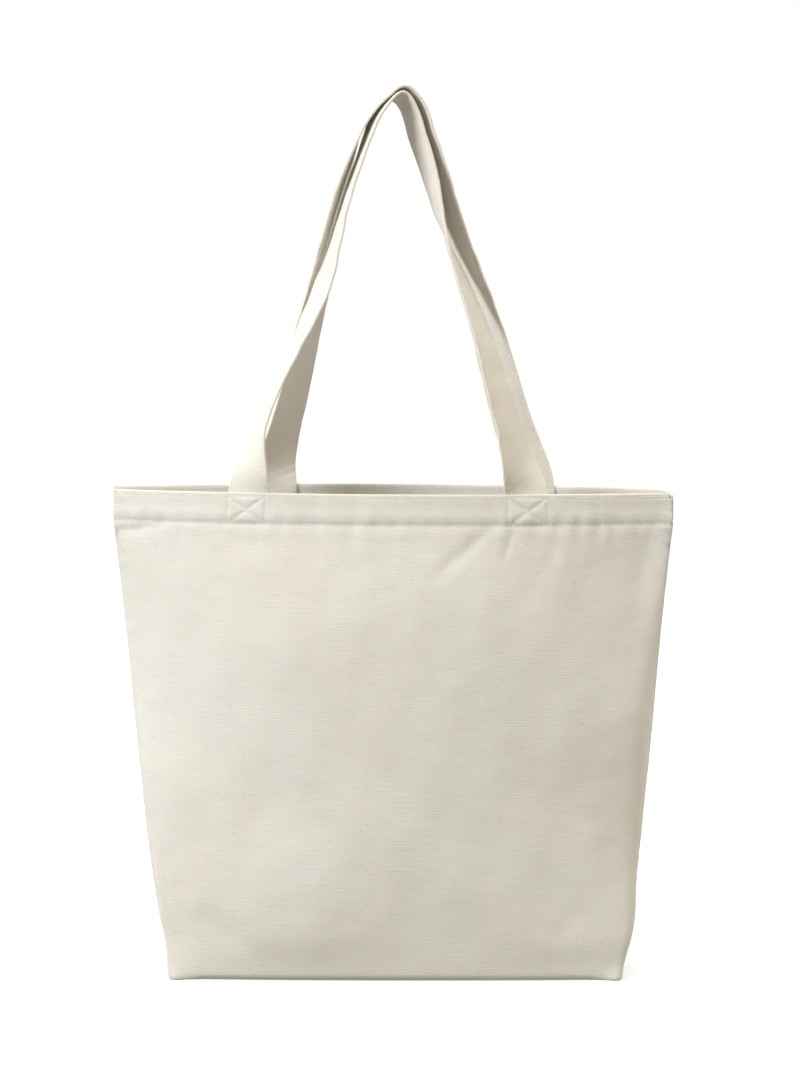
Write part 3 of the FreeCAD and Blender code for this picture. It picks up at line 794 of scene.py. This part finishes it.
STRAPS = {side: Strap(side) for side in (FRONT, BACK)}


def strap_outline():
    """The strap's cross section: pressed flat, drawn in along both stitch rows, its
    folded edges round."""
    half, thick = STRAP_WIDE / 2, STRAP_THICK / 2
    row = half - STITCH_ROW
    face = [0, 3, 6, 9, 11.5, 13.5, row - 0.9, row, row + 0.9, half - 0.8]
    across = np.array([-a for a in face[:0:-1]] + face)
    level = thick - 0.28 * hump(np.abs(across) - row, 0.8)
    level -= 0.1 * hump(np.abs(across) - half, 1.2)
    edge = [(half - 0.25, thick * 0.72), (half, thick * 0.2), (half - 0.05, -thick * 0.3),
            (half - 0.3, -thick * 0.75)]
    outline = list(zip(across, level)) + edge
    outline += [(-a, -c) for a, c in outline]
    return np.array(outline)


def strap_mesh(strap):
    outline = strap_outline()
    stations, around = len(strap.run), len(outline)
    run = np.repeat(strap.run, around)
    across = np.tile(outline[:, 0], stations)
    through = np.tile(outline[:, 1], stations)
    points = strap.surface(across, through, run)
    uvs = np.stack([np.tile(distance_along(outline), stations), run], 1)
    faces = []
    for station in range(stations - 1):
        for k in range(around):
            corner, following = station * around + k, station * around + (k + 1) % around
            faces.append([corner, corner + around, following + around, following])
    last = (stations - 1) * around
    faces.append(list(range(around)))
    faces.append([last + k for k in range(around)][::-1])
    return points, faces, uvs


# Stitches ------------------------------------------------------------------------------

def model_stitch(long, thick):
    """One lockstitch: a short strand that swells in the middle and dives into the
    cloth at both ends. Returns its vertices in millimetres and its faces."""
    bpy.ops.object.select_all(action="DESELECT")
    bpy.ops.mesh.primitive_uv_sphere_add(segments=6, ring_count=5, radius=1.0)
    strand = bpy.context.object
    bpy.ops.object.mode_set(mode="EDIT")
    bpy.ops.mesh.select_all(action="SELECT")
    bpy.ops.transform.rotate(value=math.pi / 2, orient_axis="Y", center_override=(0, 0, 0))
    bpy.ops.transform.resize(value=(long / 2, thick / 2, thick / 2))
    bpy.ops.object.mode_set(mode="OBJECT")
    points = np.array([v.co for v in strand.data.vertices])
    faces = [list(p.vertices) for p in strand.data.polygons]
    points[:, 2] -= thick * 0.75 * (points[:, 0] / (long / 2)) ** 2
    bpy.data.objects.remove(strand)
    return points, faces


def model_loop(reach, thick):
    """One overlock loop: a strand that goes over the raw edge, aslant. It is bent
    round the edge from one face to the other."""
    bpy.ops.object.select_all(action="DESELECT")
    strand = 0.2
    bpy.ops.mesh.primitive_torus_add(
        major_segments=14, minor_segments=4, major_radius=1.0, minor_radius=strand)
    loop = bpy.context.object
    points = np.array([v.co for v in loop.data.vertices])
    faces = [list(p.vertices) for p in loop.data.polygons]
    bpy.data.objects.remove(loop)
    radial = np.hypot(points[:, 0], points[:, 1])
    angle = np.arctan2(points[:, 1], points[:, 0])
    grow = (radial - 1) / strand * thick / 2
    x = np.cos(angle) * (reach / 2 + grow)
    y = np.sin(angle) * (CLOTH + 0.15 + grow)
    z = points[:, 2] / strand * thick / 2 + 0.9 * np.cos(angle)
    return np.stack([x, y, z], 1), faces


def place_copies(template, places, along, out):
    """Copies of a template: x runs along, z points out."""
    points, faces = template
    along = along / np.linalg.norm(along, axis=1, keepdims=True)
    out = out - along * (out * along).sum(1, keepdims=True)
    out /= np.linalg.norm(out, axis=1, keepdims=True)
    side = np.cross(out, along)
    copies = (places[:, None, :] + points[None, :, 0, None] * along[:, None, :]
              + points[None, :, 1, None] * side[:, None, :]
              + points[None, :, 2, None] * out[:, None, :])
    count = len(points)
    all_faces = [[c + k * count for c in face] for k in range(len(places)) for face in faces]
    return copies.reshape(-1, 3), all_faces


def stitches_on_panel(side, start, end, template, pitch, seed):
    """A straight run of stitches between two flat places on a panel's outer face."""
    start, end = np.array(start, float), np.array(end, float)
    length = math.hypot(*(end - start))
    count = max(int(round(length / pitch)), 1)
    share = (np.arange(count) + 0.5) / count
    draw = np.random.RandomState(seed)
    share = share + draw.uniform(-0.08, 0.08, count) / count
    spot = start + (end - start) * share[:, None]
    spot[:, 1] += draw.uniform(-0.1, 0.1, count)
    way = (end - start) / length
    panel = PANELS[side]
    place, out = panel.at(spot[:, 0], spot[:, 1])
    ahead, behind = [panel.at(*(spot + way * step).T)[0] for step in (REACH, -REACH)]
    return place_copies(template, place + out * 0.12, ahead - behind, out)


def stitches_on_strap(side, across, face, first, last, template, pitch):
    strap = STRAPS[side]
    count = int((last - first) / pitch)
    run = first + (np.arange(count) + 0.5) * (last - first) / count
    level = np.full(count, face * (STRAP_THICK / 2 - 0.16))
    offset = np.full(count, float(across))
    place = strap.surface(offset, level, run)
    ahead = strap.surface(offset, level, run + REACH)
    behind = strap.surface(offset, level, run - REACH)
    beyond = strap.surface(offset, level + face, run)
    return place_copies(template, place, ahead - behind, beyond - place)


def box_runs(middle):
    """The six runs of a crossed box, on flat places of the hem."""
    low, high = (HEM_FOOT + HEIGHT - BOX_TALL) / 2, (HEM_FOOT + HEIGHT + BOX_TALL) / 2
    left, right = middle - BOX_WIDE / 2, middle + BOX_WIDE / 2
    return [((left, low), (right, low)), ((right, low), (right, high)),
            ((right, high), (left, high)), ((left, high), (left, low)),
            ((left, low), (right, high)), ((left, high), (right, low))]


# Finishes --------------------------------------------------------------------------------

FINISHES = {
    "canvas": "Natural cotton canvas, plain weave",
    "strap": "Natural cotton canvas, pressed strap",
    "thread": "Undyed cotton sewing thread",
}


def finishes():
    """The three finishes, made once."""
    tote = bpy.context.scene.tote_finish
    if FINISHES["canvas"] not in bpy.data.materials:
        # Unbleached cotton duck: matt, warm white, slubbed, with specks of seed. Its
        # threads are drawn 1.3 mm apart, coarser than the real 0.6 mm, to show.
        woven_cotton(FINISHES["canvas"], hex_of(tote.canvas),
                     pitch=1.3, slub=0.10, gap_shade=0.07, through=0.35)
        # The same canvas folded in four and pressed: a little smoother and denser.
        woven_cotton(FINISHES["strap"], hex_of(tote.strap),
                     pitch=1.2, slub=0.06, gap_shade=0.08, through=0.6)
        # Undyed cotton sewing thread: a little glossier than the cloth.
        spun_thread(FINISHES["thread"], hex_of(tote.thread))
    return {slot: bpy.data.materials[name] for slot, name in FINISHES.items()}


def hex_of(colour):
    """A colour property, which is linear, as an sRGB hex value."""
    parts = [12.92 * c if c <= 0.0031308 else 1.055 * c ** (1 / 2.4) - 0.055 for c in colour]
    return "#" + "".join(f"{round(c * 255):02X}" for c in parts)


def length_setting(name, meaning, usual, least, most):
    return FloatProperty(name=name, description=meaning, default=usual, min=least, max=most,
                         unit="LENGTH")


def colour_setting(name, meaning, code):
    return FloatVectorProperty(name=name, description=meaning, subtype="COLOR",
                               default=linear(code), min=0, max=1)


class ToteSizes(bpy.types.PropertyGroup):
    stitch_pitch: length_setting(
        "Stitch pitch", "From one hem stitch to the next", 0.0034, 0.002, 0.006)
    strap_stitch_pitch: length_setting(
        "Strap stitch pitch", "From one strap stitch to the next", 0.0032, 0.002, 0.006)
    thread_thickness: length_setting(
        "Thread", "Thickness of the sewing thread", 0.00075, 0.0003, 0.0015)
    overlock_pitch: length_setting(
        "Overlock pitch", "From one overlock loop to the next", 0.0032, 0.0015, 0.006)


class ToteFinish(bpy.types.PropertyGroup):
    canvas: colour_setting("Canvas", "Colour of the bag's cloth", "#CFCCC4")
    strap: colour_setting("Strap", "Colour of the straps", "#D3CFC6")
    thread: colour_setting("Thread", "Colour of the sewing thread", "#DDD9D0")


# Operators ------------------------------------------------------------------------------

class TOTE_OT_cloth(bpy.types.Operator):
    """Sew up the front and back cloth, each with its hem and its half of the base"""
    bl_idname = "tote.cloth"
    bl_label = "Cloth panels"

    def execute(self, context):
        for side, panel in PANELS.items():
            name = SIDE_NAMES[side]
            piece = new_piece(f"{name}_cloth", *panel_mesh(panel), finishes()["canvas"])
            add_thickness(piece, CLOTH * 0.96)
            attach(piece, "bag")
            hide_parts(f"{name}_panel")
        return {"FINISHED"}


class TOTE_OT_straps(bpy.types.Operator):
    """Make both carrying straps, from sewn end to sewn end"""
    bl_idname = "tote.straps"
    bl_label = "Straps"

    def execute(self, context):
        for side, strap in STRAPS.items():
            name = SIDE_NAMES[side]
            piece = new_piece(f"{name}_strap", *strap_mesh(strap), finishes()["strap"], 40)
            bend_at_rim(piece)
            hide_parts(f"{name}_handle", f"{name}_handle_end_left",
                        f"{name}_handle_end_right")
        return {"FINISHED"}


def bend_at_rim(piece):
    """The piece's transform is baked into its mesh."""
    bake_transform(piece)


class TOTE_OT_strap_stitches(bpy.types.Operator):
    """Run a row of stitches along each edge of both straps, on both faces"""
    bl_idname = "tote.strap_stitches"
    bl_label = "Strap stitches"

    def execute(self, context):
        sizes = context.scene.tote_sizes
        pitch = sizes.strap_stitch_pitch / MM
        template = model_stitch(pitch * 0.86, sizes.thread_thickness / MM * 0.8)
        row = STRAP_WIDE / 2 - STITCH_ROW
        for side, strap in STRAPS.items():
            name = SIDE_NAMES[side]
            parts = [stitches_on_strap(side, across, face, 6, strap.length - 6, template, pitch)
                     for across in (-row, row) for face in (-1, 1)]
            thread_piece(f"{name}_strap_stitches", f"{name}_handle_stitching",
                         *merge(parts), side)
        return {"FINISHED"}


class TOTE_OT_hem_stitches(bpy.types.Operator):
    """Run the stitches of the hem's foot and of the rim round both panels"""
    bl_idname = "tote.hem_stitches"
    bl_label = "Hem stitches"

    def execute(self, context):
        sizes = context.scene.tote_sizes
        pitch = sizes.stitch_pitch / MM
        template = model_stitch(pitch * 0.84, sizes.thread_thickness / MM)
        for side in PANELS:
            for row, box in (("hem", (HEM_STITCH_LOW, HEM_STITCH_HIGH)),
                             ("rim", (RIM_STITCH_LOW, RIM_STITCH_HIGH))):
                up = (box[0][2] + box[1][2]) / 2
                reach = FLAT_HALF - 2
                name = f"{SIDE_NAMES[side]}_{row}_stitch"
                thread_piece(f"{name}es", name, *stitches_on_panel(
                    side, (-reach, up), (reach, up), template, pitch, 3 + side))
        return {"FINISHED"}


class TOTE_OT_box_stitches(bpy.types.Operator):
    """Sew each strap end to the hem with a crossed box of stitches"""
    bl_idname = "tote.box_stitches"
    bl_label = "Box stitches"

    def execute(self, context):
        sizes = context.scene.tote_sizes
        template = model_stitch(BOX_PITCH * 0.86, sizes.thread_thickness / MM)
        for side, strap in STRAPS.items():
            for (end, sign), middle in zip(END_SIGNS.items(), strap_end_places(side)):
                parts = [stitches_on_panel(side, start, finish, template, BOX_PITCH, 20 + k)
                         for k, (start, finish) in enumerate(box_runs(middle))]
                # Inside, the same box shows on the strap's own face.
                parts += [box_run_inside(strap, sign, start, finish, template)
                          for start, finish in box_runs(0.0)]
                name = f"{SIDE_NAMES[side]}_box_stitch_{end}"
                thread_piece(name.replace("stitch", "stitches"), name, *merge(parts))
        return {"FINISHED"}


def inner_face(strap, sign):
    """Which way through the strap's thickness faces the inside of the bag."""
    depth = strap.depth[0 if sign < 0 else -1]
    return -1 if depth[1] * strap.side > 0 else 1


def box_run_inside(strap, sign, start, finish, template):
    """One run of the box, on the strap's inner face."""
    face = inner_face(strap, sign)
    start, finish = np.array(start, float), np.array(finish, float)
    length = math.hypot(*(finish - start))
    count = max(int(round(length / BOX_PITCH)), 1)
    share = (np.arange(count) + 0.5) / count

    def spots(offset):
        spot = start + (finish - start) * (share + offset / length)[:, None]
        run = spot[:, 1] - HEM_FOOT - 1
        if sign > 0:
            run = strap.length - run
        return spot[:, 0], run

    level = np.full(count, face * (STRAP_THICK / 2 + 0.05))
    across, run = spots(0.0)
    place = strap.surface(across, level, run)
    across_ahead, run_ahead = spots(REACH)
    ahead = strap.surface(across_ahead, level, run_ahead)
    beyond = strap.surface(across, level + face, run)
    return place_copies(template, place, ahead - place, beyond - place)


class TOTE_OT_seam_threads(bpy.types.Operator):
    """Overlock the raw edges inside: both side seams, both corners and the bottom"""
    bl_idname = "tote.seam_threads"
    bl_label = "Overlocked seams"

    def execute(self, context):
        pitch = context.scene.tote_sizes.overlock_pitch / MM
        loop = model_loop(OVERLOCK_WIDE, OVERLOCK_THREAD)
        runs = {}
        for end, sign in END_SIGNS.items():
            low = (sign * (SEAM_LOW[0] + OVERLOCK_WIDE / 2), 0, SEAM_LOW[2])
            high = (sign * (SEAM_HIGH[0] - OVERLOCK_WIDE / 2), 0, SEAM_HIGH[2])
            runs[f"side_seam_{end}"] = (low, high, (sign, 0, 0))
            middle = sign * (CORNER_LOW[0] + CORNER_HIGH[0]) / 2
            level = (CORNER_LOW[2] + CORNER_HIGH[2]) / 2
            runs[f"corner_seam_{end}"] = ((middle, CORNER_LOW[1], level),
                                          (middle, CORNER_HIGH[1], level), (0, 0, -1))
        level = (BOTTOM_LOW[2] + BOTTOM_HIGH[2]) / 2
        runs["bottom_seam"] = ((BOTTOM_LOW[0], 0, level), (BOTTOM_HIGH[0], 0, level), (0, 0, -1))
        for name, (start, finish, edge) in runs.items():
            start, finish = np.array(start, float), np.array(finish, float)
            length = np.linalg.norm(finish - start)
            count = int(length / pitch)
            share = ((np.arange(count) + 0.5) / count)[:, None]
            along = np.repeat([(finish - start) / length], count, 0)
            inwards = np.repeat([np.array(edge, float)], count, 0)
            spots = start + (finish - start) * share
            if name.startswith("side"):
                spots[:, 0] += edge[0] * np.array([side_bulge(z) for z in spots[:, 2]])
                if edge[0] > 0:
                    slip = seam_slip(FRONT, np.full(count, FLAT_HALF), spots[:, 2])
                    spots[:, :2] += np.stack(slip, 1)
            points, faces = place_copies(loop, spots, inwards, along)
            thread_piece(name.replace("seam", "seam_thread"), name, stand(points), faces)
        return {"FINISHED"}


# Each light: place, size in metres, power in watts, tint. The key light is cool, and the rest are warm.
LIGHTS = {
    "key_light": ((-1.75, -1.4, 1.4), 1.0, 62.0, (0.93, 0.965, 1.0)),
    "fill_light": ((2.6, -1.2, 0.9), 1.6, 27.0, (1.0, 0.93, 0.8)),
    "back_light": ((0.9, 2.4, 1.9), 1.8, 34.0, (1.0, 0.95, 0.85)),
}
LIT_POINT = (0, 0, 0.3)
CAMERA_LENS = 102.0
CAMERA_AWAY = 2.6
CAMERA_TURN = 5.0          # degrees, to the right of straight in front
CAMERA_HEIGHT = 0.607
LOOKED_AT = (0.0062, 0, 0.368)


class TOTE_OT_stage(bpy.types.Operator):
    """Set up the pale floor, the studio lights and the camera"""
    bl_idname = "tote.stage"
    bl_label = "Stage"

    def execute(self, context):
        scene = context.scene
        scene.view_settings.view_transform = "Standard"
        material, tree = new_material("White studio paper")
        glow = add_node(tree, "ShaderNodeBsdfPrincipled", [
            ("Base Color", (0.84, 0.87, 0.94, 1)), ("Roughness", 0.9),
            ("Specular IOR Level", 0.0), ("Emission Color", (1, 1, 1, 1)),
            ("Emission Strength", 0.08)])
        add_node(tree, "ShaderNodeOutputMaterial", [("Surface", glow.outputs[0])])
        bpy.ops.object.select_all(action="DESELECT")
        bpy.ops.mesh.primitive_plane_add(size=40)
        floor = context.object
        floor.name = "studio_floor"
        floor.data.materials.append(material)
        # The floor is kept from lighting the cloth, which would flatten its shading.
        floor.visible_diffuse = False
        white, tree = new_material("White studio wall")
        wall_glow = add_node(tree, "ShaderNodeEmission", [("Color", (1, 1, 1, 1)),
                                                          ("Strength", 1.0)])
        add_node(tree, "ShaderNodeOutputMaterial", [("Surface", wall_glow.outputs[0])])
        bpy.ops.mesh.primitive_uv_sphere_add(segments=48, ring_count=24, radius=18)
        wall = context.object
        wall.name = "studio_wall"
        wall.data.materials.append(white)
        for ray in ("diffuse", "glossy", "transmission", "shadow"):
            setattr(wall, f"visible_{ray}", False)
        world = bpy.data.worlds.new("Studio")
        world.use_nodes = True
        backdrop = world.node_tree.nodes["Background"]
        backdrop.inputs["Color"].default_value = (1.0, 0.955, 0.865, 1)
        backdrop.inputs["Strength"].default_value = 0.42
        scene.world = world
        for name, (place, wide, power, tint) in LIGHTS.items():
            light = bpy.data.lights.new(name, "AREA")
            light.energy, light.size, light.color = power, wide, tint
            lamp = bpy.data.objects.new(name, light)
            scene.collection.objects.link(lamp)
            lamp.location = place
            aim(lamp, LIT_POINT)
        # A wide overhead softbox, which whitens the floor and reaches into the bag.
        overhead = bpy.data.lights.new("overhead_light", "SUN")
        overhead.energy, overhead.angle = 0.74 * math.pi, math.radians(70)
        overhead.color = (1.0, 0.97, 0.9)
        scene.collection.objects.link(bpy.data.objects.new("overhead_light", overhead))
        add_camera(scene)
        return {"FINISHED"}


def aim(thing, target):
    way = thing.location - type(thing.location)(target)
    thing.rotation_euler = way.to_track_quat("Z", "Y").to_euler()


def add_camera(scene):
    """A long lens, a little above the rim and a little to the right of the middle."""
    turn = math.radians(CAMERA_TURN)
    lens = bpy.data.cameras.new("camera")
    lens.lens = CAMERA_LENS
    lens.sensor_width = 36.0
    camera = bpy.data.objects.new("camera", lens)
    scene.collection.objects.link(camera)
    camera.location = (LOOKED_AT[0] + CAMERA_AWAY * math.sin(turn),
                       -CAMERA_AWAY * math.cos(turn), CAMERA_HEIGHT)
    aim(camera, LOOKED_AT)
    scene.camera = camera


class TOTE_PT_panel(bpy.types.Panel):
    """Every step of making the bag"""
    bl_idname = "TOTE_PT_panel"
    bl_label = "Tote bag"
    bl_space_type = "VIEW_3D"
    bl_region_type = "UI"
    bl_category = "Tote bag"

    def draw(self, context):
        scene = context.scene
        for group in (scene.tote_sizes, scene.tote_finish):
            for name in type(group).__annotations__:
                self.layout.prop(group, name)
        for step in STEPS:
            self.layout.operator(step.bl_idname)


STEPS = (TOTE_OT_cloth, TOTE_OT_straps, TOTE_OT_strap_stitches, TOTE_OT_hem_stitches,
         TOTE_OT_box_stitches, TOTE_OT_seam_threads, TOTE_OT_stage)
CLASSES = (ToteSizes, ToteFinish, *STEPS, TOTE_PT_panel)


def register():
    for item in CLASSES:
        bpy.utils.register_class(item)
    bpy.types.Scene.tote_sizes = PointerProperty(type=ToteSizes)
    bpy.types.Scene.tote_finish = PointerProperty(type=ToteFinish)


def unregister():
    del bpy.types.Scene.tote_finish
    del bpy.types.Scene.tote_sizes
    for item in reversed(CLASSES):
        bpy.utils.unregister_class(item)


def main():
    register()
    for step in STEPS:
        group, name = step.bl_idname.split(".")
        result = getattr(getattr(bpy.ops, group), name)()
        if result != {"FINISHED"}:
            raise RuntimeError(f"{step.bl_label} didn't finish")


if __name__ == "__main__":
    main()
